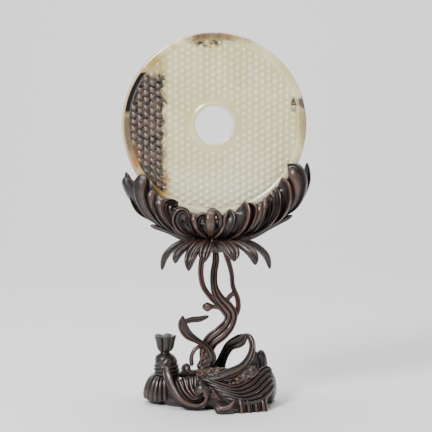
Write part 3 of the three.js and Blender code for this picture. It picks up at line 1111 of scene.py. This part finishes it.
def feet():
    """Small feet that curl out along the front edge on the right."""
    made = [
        member(
            [(1, -38, 7), (5, -41.5, 3), (12, -41, 3.5), (18.5, -34, 9)],
            (4, 8, 9, 6),
            (5, 8, 9, 8),
            relief=FOLD,
            strands=2,
        )
    ]
    for i, x in enumerate((22, 28, 34, 40)):
        y = 2.2 * i
        path = [(x - 5, y - 22, 9), (x - 1, y - 33, 8), (x, y - 36.5, 3), (x + 0.5, y - 37, -3)]
        made.append(
            member(path, (5, 7, 6.5, 6.5), (6, 8, 7, 7), face=(0, -1, 0.5), strands=3, groove=0.5)
        )
    return made


def rock_core():
    """The low body of the rockwork that carries everything."""
    return member(
        [(-48, 6, 3), (-24, 2, 6), (0, 0, 8), (24, 0, 6), (46, 2, 3)],
        [26, 44, 56, 54, 30],
        [18, 24, 30, 26, 22],
        across=(0, 1, 0),
        strands=9,
        groove=0.3,
        bumps=0.8,
        blunt=(0.2, 0.2),
        rear=20,
        stride=1.6,
    )


def stand_members(settings):
    """Every member of the stand, as skins in millimetres."""
    cradle = settings.cradle / MM
    foot = settings.sepals / MM
    return [
        rock_core(),
        crown(foot),
        crescent(cradle),
        *(lobe(cradle, shape, 1) for shape in BACK_LOBES),
        *(lobe(cradle, shape, -1) for shape in FRONT_LOBES),
        end_leaf(cradle, 208, 81.5, 0.7),
        end_leaf(cradle, 338, 81.7, 0.4),
        *curls(foot),
        *tendrils(foot),
        *(sepal(foot, shape) for shape in SEPALS),
        *(member(**shape) for shape in STEMS + SHOOTS),
        post(),
        *rib_fan((-41, 2, 22), (-43.5, 3), (11.5, 13), 60, 358, 10, 8, 3),
        *(member(**shape) for shape in SCROLLS + GREAT_LEAF),
        *(flute(k) for k in (0, 0.33, 0.66, 1)),
        *(rough_leaf(path) for path in ROUGH_LEAVES),
        *(wave(FRONT_WAVES, k, (0.1, -0.8, 0.6)) for k in (0, 0.25, 0.5, 0.75, 1)),
        *(wave(BACK_WAVES, k, (0.1, 0.8, 0.6)) for k in (0, 1)),
        *(rock(*shape) for shape in ROCKS),
        *feet(),
    ]


def box_skin(low, high):
    """A plain box between two corners."""
    corners = [(x, y, z) for x in (low[0], high[0]) for y in (low[1], high[1]) for z in (low[2], high[2])]
    faces = [(0, 1, 3, 2), (4, 6, 7, 5), (0, 4, 5, 1), (2, 3, 7, 6), (0, 2, 6, 4), (1, 5, 7, 3)]
    return Skin(corners, faces)


def seat_skin(gap):
    """The slot for the disc, with its gap all round."""
    radius = DISC_RADIUS / MM + gap
    half = DISC_THICKNESS / MM / 2 + gap
    turn = np.linspace(0, 2 * np.pi, 240, endpoint=False)
    middle = DISC_MIDDLE / MM
    rings = np.stack(
        [
            np.stack([middle.x + radius * np.cos(turn), np.full(240, y), middle.z + radius * np.sin(turn)], -1)
            for y in (half, -half)
        ]
    )
    return capped(rings)


# --- The disc ---------------------------------------------------------------------------------


def disc_profile(settings):
    """Half of the disc's section as radius and height above its middle, from bore to edge."""
    rim = settings.thickness / MM / 2
    ground = rim - settings.sink / MM
    bore, radius = settings.bore / MM, settings.radius / MM
    collar, border = bore + settings.collar / MM, radius - settings.border / MM
    return [
        (bore, 0), (bore, rim - 0.7), (bore + 0.12, rim - 0.32), (bore + 0.4, rim - 0.1),
        (bore + 0.9, rim), (collar - 0.5, rim), (collar - 0.1, rim - 0.08),
        (collar + 0.35, rim - 0.3), (collar + 1, ground + 0.16), (collar + 1.8, ground),
        (mix(collar, border, 0.35), ground), (mix(collar, border, 0.68), ground),
        (border - 1.1, ground), (border - 0.6, ground + 0.12), (border - 0.15, rim - 0.4),
        (border + 0.2, rim - 0.12), (border + 0.7, rim), (border + 2, rim + 0),
        (radius - 2.6, rim - 0.05), (radius - 1.5, rim - 0.25), (radius - 0.6, rim - 0.75),
        (radius - 0.15, rim - 1.3), (radius, rim - 2), (radius, 0),
    ]


def disc_body(settings):
    around = 240
    front = disc_profile(settings)
    profile = [(r, -h) for r, h in front] + [(r, h) for r, h in front[-2:0:-1]]
    radius, depth = np.asarray(profile, float).T
    turn = np.linspace(0, 2 * np.pi, around, endpoint=False)
    rings = np.stack(
        [
            radius[:, None] * np.cos(turn),
            np.broadcast_to(depth[:, None], (len(depth), around)),
            radius[:, None] * np.sin(turn),
        ],
        axis=-1,
    )
    points = rings.reshape(-1, 3) + np.asarray(DISC_MIDDLE) / MM
    return Skin(points, grid_faces(len(profile), around, closed_rows=True))


def grain_places(settings):
    """Middles of the grains: upright columns, every second one set half a pitch higher."""
    column, pitch = settings.column / MM, settings.pitch / MM
    inner = settings.bore / MM + settings.collar / MM + 0.6 + settings.grain / MM / 2
    outer = settings.radius / MM - settings.border / MM + 0.3 - settings.grain / MM / 2
    reach = int(settings.radius / MM / column) + 1
    return [
        (i * column, j * pitch + (pitch / 2 if i % 2 else 0))
        for i in range(-reach, reach + 1)
        for j in range(-reach, reach + 1)
        if inner <= math.hypot(i * column, j * pitch + (pitch / 2 if i % 2 else 0)) <= outer
    ]


def grains(settings, face):
    """The raised grains of one face, each a small dome that leans to one side."""
    half = settings.grain / MM / 2
    rise = settings.sink / MM
    ground = settings.thickness / MM / 2 - rise
    around = 11
    section = ((1, -0.25), (0.98, 0.03), (0.8, 0.22), (0.56, 0.62), (0.28, 0.93))
    turn = np.linspace(0, 2 * np.pi, around, endpoint=False)
    points, faces = [], []
    for x, z in grain_places(settings):
        first = len(points)
        for share, height in section:
            slip = 0.16 * half * (height if height > 0 else 0)
            for a in turn:
                points.append(
                    (
                        x + half * share * math.cos(a) - slip,
                        face * (ground + rise * height),
                        z + half * share * math.sin(a) + slip,
                    )
                )
        points.append((x - 0.16 * half, face * (ground + rise), z + 0.16 * half))
        points.append((x, face * (ground - 0.25 * rise), z))
        top, base = first + len(section) * around, first + len(section) * around + 1
        cell = [tuple(first + k for k in quad) for quad in grid_faces(len(section), around)]
        last = first + (len(section) - 1) * around
        for k in range(around):
            following = (k + 1) % around
            cell.append((top, last + k, last + following))
            cell.append((base, first + following, first + k))
        faces += cell if face < 0 else [quad[::-1] for quad in cell]
    return Skin(np.asarray(points) + np.asarray(DISC_MIDDLE) / MM, faces)


# --- Finishes ---------------------------------------------------------------------------------


def jade_finish(settings):
    """Pale waxy nephrite with a dark burial stain, honey fringes and russet skin on the rims."""
    made = Finish("jade")
    x, y, z = made.parts(made.place - tuple(DISC_MIDDLE))
    radius = (x * x + z * z) ** 0.5
    rim = DISC_RADIUS / MM
    border = radius.soft(rim - 6.4, rim - 5.6)
    field = radius.soft(rim - 5.4, rim - 6.6) * radius.soft(19, 20)
    ground = abs(y).soft(2.9, 2.35)
    drift = made.clouds(9, detail=4) - 0.5
    fleck = made.clouds(2.2, detail=3) - 0.5
    streak = made.clouds(5, (1, 1, 1.8), detail=4, twist=0.8) - 0.5

    def spot(middle, size, ragged=1.0):
        """A stain round a point of the disc, 1 in its middle, with a ragged edge."""
        across, up = (x - middle[0]) * (1 / size[0]), (z - middle[1]) * (1 / size[1])
        reach = (across * across + up * up) ** 0.5 + (drift + fleck * 0.6) * ragged
        return reach.soft(1.25, 0.6)

    tint = made.blend(made.clouds(34, twist=0.6).soft(0.4, 0.64), settings.body, settings.moss_and_ground_shade)
    milky = (z + drift * 30).soft(-8, -60) * 0.8
    tint = made.blend(milky, tint, settings.milk)
    tint = made.blend(made.clouds(12, (1, 1, 2.6)).soft(0.5, 0.75) * 0.4, tint, settings.milk)
    # Painted highlight: the grain tops in the field take a lighter colour.
    tint = made.blend(field * abs(y).soft(2.8, 3.2) * 0.75, tint, settings.grain_top_highlight)
    # Painted shade: the ground between the grains is tinted darker and greener.
    tint = made.blend(field * abs(y).soft(2.7, 2.3) * 0.3, tint, settings.moss_and_ground_shade)

    ragged = x + drift * 13 + fleck * 8
    height = z + drift * 14 + streak * 10
    leaning = (z * 0.3 + x + drift * 8).soft(-78, -70).high(z.soft(-14, -6))
    stain = ragged.soft(-38.5, -43.5) * height.soft(47, 38) * leaning
    fringe = (x + drift * 10).soft(-33, -43) * (z + drift * 18).soft(72, 46)
    tint = made.blend(fringe * mixed(z.soft(0, -50), 0.4, 0.8), tint, settings.honey)
    for middle, size, share in (
        ((-52.4, 54.5), (10, 7), 0.75),
        ((-47, 48), (9, 7), 0.55),
        ((-43, -48), (8, 13), 0.65),
        ((-33, 63.5), (3, 3), 0.4),
    ):
        tint = made.blend(spot(middle, size) * share, tint, settings.honey)
    blot = made.blend(made.clouds(6, twist=1).soft(0.36, 0.62), settings.char, settings.umber)
    blot = made.blend(made.clouds(11).soft(0.52, 0.66) * 0.6, blot, settings.smoke)
    # Painted highlight: inside the dark stain the grain tops are tinted lighter.
    top = abs(y).soft(2.75, 3.2)
    stain_with_lit_grains = made.blend(top * 0.5, blot, settings.stain_grain_highlight)
    tint = made.blend(stain * field * mixed(streak, 1, 0.7).low(1.0), tint, stain_with_lit_grains)
    tint = made.blend(spot((-66, -26), (6, 13)) * 0.5, tint, settings.russet)
    tint = made.blend(spot((-64.5, -29.5), (3.2, 5)) * border * 0.8, tint, settings.amber)
    tint = made.blend(spot((-60, 45.5), (4.5, 3)) * 0.7, tint, settings.amber)

    band = border * x.soft(-40, -52) * radius.soft(rim - 1.4, rim - 2.4)
    tint = made.blend(band * z.soft(-30, -14) * z.soft(14, 4) * 0.85, tint, settings.umber)
    tint = made.blend(band * z.soft(7, 12) * (z + drift * 3).soft(44.5, 42), tint, settings.char)
    edge = radius.soft(rim - 2.2, rim - 0.8) * x.soft(-36, -56) * z.soft(-44, -24)
    tint = made.blend(edge * 0.6, tint, settings.blush)

    skin = (border * 0.75 + 0.25) * mixed(streak, 0.75, 1.6).low(1.0)
    tint = made.blend(spot((2, 73), (34, 8)) * skin, tint, settings.russet)
    tint = made.blend(spot((-6, 73), (15, 6)) * skin * 0.9, tint, settings.umber)
    tint = made.blend(spot((72.5, 2), (5.5, 18)) * skin * 0.7, tint, settings.russet)
    tint = made.blend(spot((73, 18.5), (6, 5)) * border * 0.95, tint, settings.umber)
    for middle, size in (((-4.5, 67), (12, 4.2)), ((65.2, 16.5), (3, 6.5)), ((-36, 66.5), (1.6, 1.6))):
        speck = spot(middle, size, 1.6) * (fleck * 1.6 + drift * 2 + 0.7).soft(0.2, 0.65)
        tint = made.blend(spot(middle, size) * 0.45, tint, settings.honey)
        tint = made.blend(speck * mixed(ground, 0.2, 0.92), tint, settings.char)

    rough = made.clouds(3, detail=2) * 0.1 + 0.18
    wax = made.bump(made.clouds(1.6, detail=3), 0.1, 0.5)
    return made.close(
        Base_Color=tint,
        Roughness=rough,
        IOR=1.6,
        Subsurface_Weight=0.2,
        Subsurface_Radius=(1.0, 0.9, 0.6),
        Subsurface_Scale=2 * MM,
        Coat_Weight=0.5,
        Coat_Roughness=0.1,
        Normal=wax,
    )


def mixed(share, low, high):
    """A number from low where share is 0 to high where it is 1."""
    return share * (high - low) + low


def wood_finish(settings):
    """Dark waxed hardwood: painted shade and grime in the hollows, wear and painted highlight on the ridges.
    """
    made = Finish("rosewood")
    hollow = made.attribute("hollow")
    crest = made.attribute("crest")
    tone = made.attribute("tone")
    grain = made.clouds(1.3, (1, 1, 9), detail=4, rough=0.6)
    cloud = made.clouds(16, (1, 1, 1.6), detail=3)
    tint = made.blend(cloud.soft(0.35, 0.7), settings.dark, settings.heart)
    tint = made.blend(grain.soft(0.35, 0.75) * 0.5, tint, settings.heart)
    ridge = crest.soft(0.45, 1) * (1 - hollow.soft(-0.2, 0.4))
    # Wear and painted highlight: the ridges take their lighter colour.
    rubbed_and_lit = ridge * mixed(made.clouds(8).soft(0.3, 0.65), 0.35, 1)
    tint = made.blend(rubbed_and_lit * 0.6, tint, settings.wear_and_highlight)
    tint = made.blend(tone * 0.6 * made.clouds(5).soft(0.3, 0.6), tint, settings.red)
    # Painted shade and grime: the hollows are darkened towards the darkest wood colour.
    tint = made.blend(hollow.soft(0.1, 0.7), tint, settings.dark)
    rough = 0.43 - rubbed_and_lit * 0.14 + grain * 0.1
    fibres = made.bump(grain, 0.14, 0.6)
    skin = made.bump(made.clouds(2.6, detail=2), 0.35, 0.5, fibres)
    return made.close(
        Base_Color=tint,
        Roughness=rough,
        Specular_IOR_Level=0.5,
        Coat_Weight=0.4,
        Coat_Roughness=0.24,
        Normal=skin,
    )


def floor_finish(settings):
    made = Finish("floor")
    return made.close(Base_Color=tuple(settings.floor), Roughness=0.85)


# --- Operators --------------------------------------------------------------------------------


class BI_OT_disc(Operator):
    """Make the jade disc with its rims and its two fields of grains"""

    bl_idname = "bi.disc"
    bl_label = "Jade disc"

    def execute(self, context):
        settings = context.scene.bi_disc
        disc = disc_body(settings).place("bi_disc")
        seeds = [grains(settings, face).place("grains") for face in (-1, 1)]
        cut_and_join(disc, seeds, "UNION")
        triangulated(disc)
        settled(disc, "root", "jade_disc", jade_finish(settings), 50)
        return {"FINISHED"}


class BI_OT_stand(Operator):
    """Carve the stand from all its members, with the slot for the disc"""

    bl_idname = "bi.stand"
    bl_label = "Carved stand"

    def execute(self, context):
        settings = context.scene.bi_stand
        members = [skin.place("member") for skin in stand_members(settings)]
        stand, *others = members
        stand.name = "rosewood_stand"
        cut_and_join(stand, others, "UNION")
        below = box_skin((-200, -200, -50), (200, 200, 0)).place("below")
        seat = seat_skin(settings.seat_gap / MM).place("seat")
        cut_and_join(stand, [below, seat], "DIFFERENCE")
        triangulated(stand)
        keep_outer_skin(stand)
        places = np.clip(object_points(stand), np.array(STAND_LOW), np.array(STAND_HIGH))
        set_points(stand, places)
        store_hollows(stand, 0.5 * MM)
        settled(stand, "root", "carved_stand", wood_finish(settings), 40)
        return {"FINISHED"}


class BI_OT_stage(Operator):
    """Set the floor, the backdrop, the studio lights and the camera"""

    bl_idname = "bi.stage"
    bl_label = "Stage"

    def execute(self, context):
        settings = context.scene.bi_stage
        target = Vector((1.6 * MM, 0, 155.5 * MM))
        self.backdrop(settings)
        rise = settings.elevation
        away = Vector((0, -math.cos(rise), math.sin(rise))) * settings.distance
        camera = bpy.data.objects.new("camera", bpy.data.cameras.new("camera"))
        camera.data.lens = settings.lens
        camera.data.sensor_width = 36
        camera.location = target + away
        camera.rotation_euler = (-away).to_track_quat("-Z", "Y").to_euler()
        context.scene.collection.objects.link(camera)
        context.scene.camera = camera
        self.light("key", (-0.75, -0.95, 1.05), settings.key, 0.4, target)
        self.light("fill", (0.95, -0.9, 0.5), settings.fill, 0.6, target)
        self.light("back", (0, 0.35, 1.7), settings.back, 1.2, Vector((0, 1.1, 0)))
        world = bpy.data.worlds.new("studio")
        world.use_nodes = True
        sky = world.node_tree.nodes["Background"]
        sky.inputs["Color"].default_value = (1, 1, 1, 1)
        sky.inputs["Strength"].default_value = 0.16
        context.scene.world = world
        return {"FINISHED"}

    def backdrop(self, settings):
        """A floor that sweeps up into a wall behind the object."""
        half, back, radius, top = 3.0, 1.6, 0.8, 3.0
        bend = np.linspace(0, math.pi / 2, 17)
        line = [(-3.0, 0.0), *zip(back - radius + radius * np.sin(bend), radius - radius * np.cos(bend))]
        line.append((back, top))
        points = [(x, float(y), float(z)) for y, z in line for x in (-half, half)]
        faces = [(2 * i, 2 * i + 1, 2 * i + 3, 2 * i + 2) for i in range(len(line) - 1)]
        mesh = bpy.data.meshes.new("floor")
        mesh.from_pydata(points, [], faces)
        mesh.shade_smooth()
        mesh.materials.append(floor_finish(settings))
        floor = bpy.data.objects.new("floor", mesh)
        bpy.context.scene.collection.objects.link(floor)

    def light(self, name, place, power, size, target):
        data = bpy.data.lights.new(name, "AREA")
        data.energy = power
        data.size = size
        lamp = bpy.data.objects.new(name, data)
        lamp.location = place
        lamp.rotation_euler = (target - Vector(place)).to_track_quat("-Z", "Y").to_euler()
        bpy.context.scene.collection.objects.link(lamp)


class BI_PT_panel(Panel):
    bl_idname = "BI_PT_panel"
    bl_label = "Jade bi disc"
    bl_space_type = "VIEW_3D"
    bl_region_type = "UI"
    bl_category = "Bi Disc"

    def draw(self, context):
        for group, operator in (
            (context.scene.bi_disc, BI_OT_disc),
            (context.scene.bi_stand, BI_OT_stand),
            (context.scene.bi_stage, BI_OT_stage),
        ):
            box = self.layout.box()
            box.operator(operator.bl_idname)
            for name in group.bl_rna.properties.keys():
                if name not in ("rna_type", "name"):
                    box.prop(group, name)


CLASSES = (
    DiscSettings,
    StandSettings,
    StageSettings,
    BI_OT_disc,
    BI_OT_stand,
    BI_OT_stage,
    BI_PT_panel,
)


def register():
    for cls in CLASSES:
        bpy.utils.register_class(cls)
    bpy.types.Scene.bi_disc = PointerProperty(type=DiscSettings)
    bpy.types.Scene.bi_stand = PointerProperty(type=StandSettings)
    bpy.types.Scene.bi_stage = PointerProperty(type=StageSettings)


def unregister():
    del bpy.types.Scene.bi_disc, bpy.types.Scene.bi_stand, bpy.types.Scene.bi_stage
    for cls in reversed(CLASSES):
        bpy.utils.unregister_class(cls)


def main():
    register()
    bpy.ops.bi.disc()
    bpy.ops.bi.stand()
    bpy.ops.bi.stage()


if __name__ == "__main__":
    main()
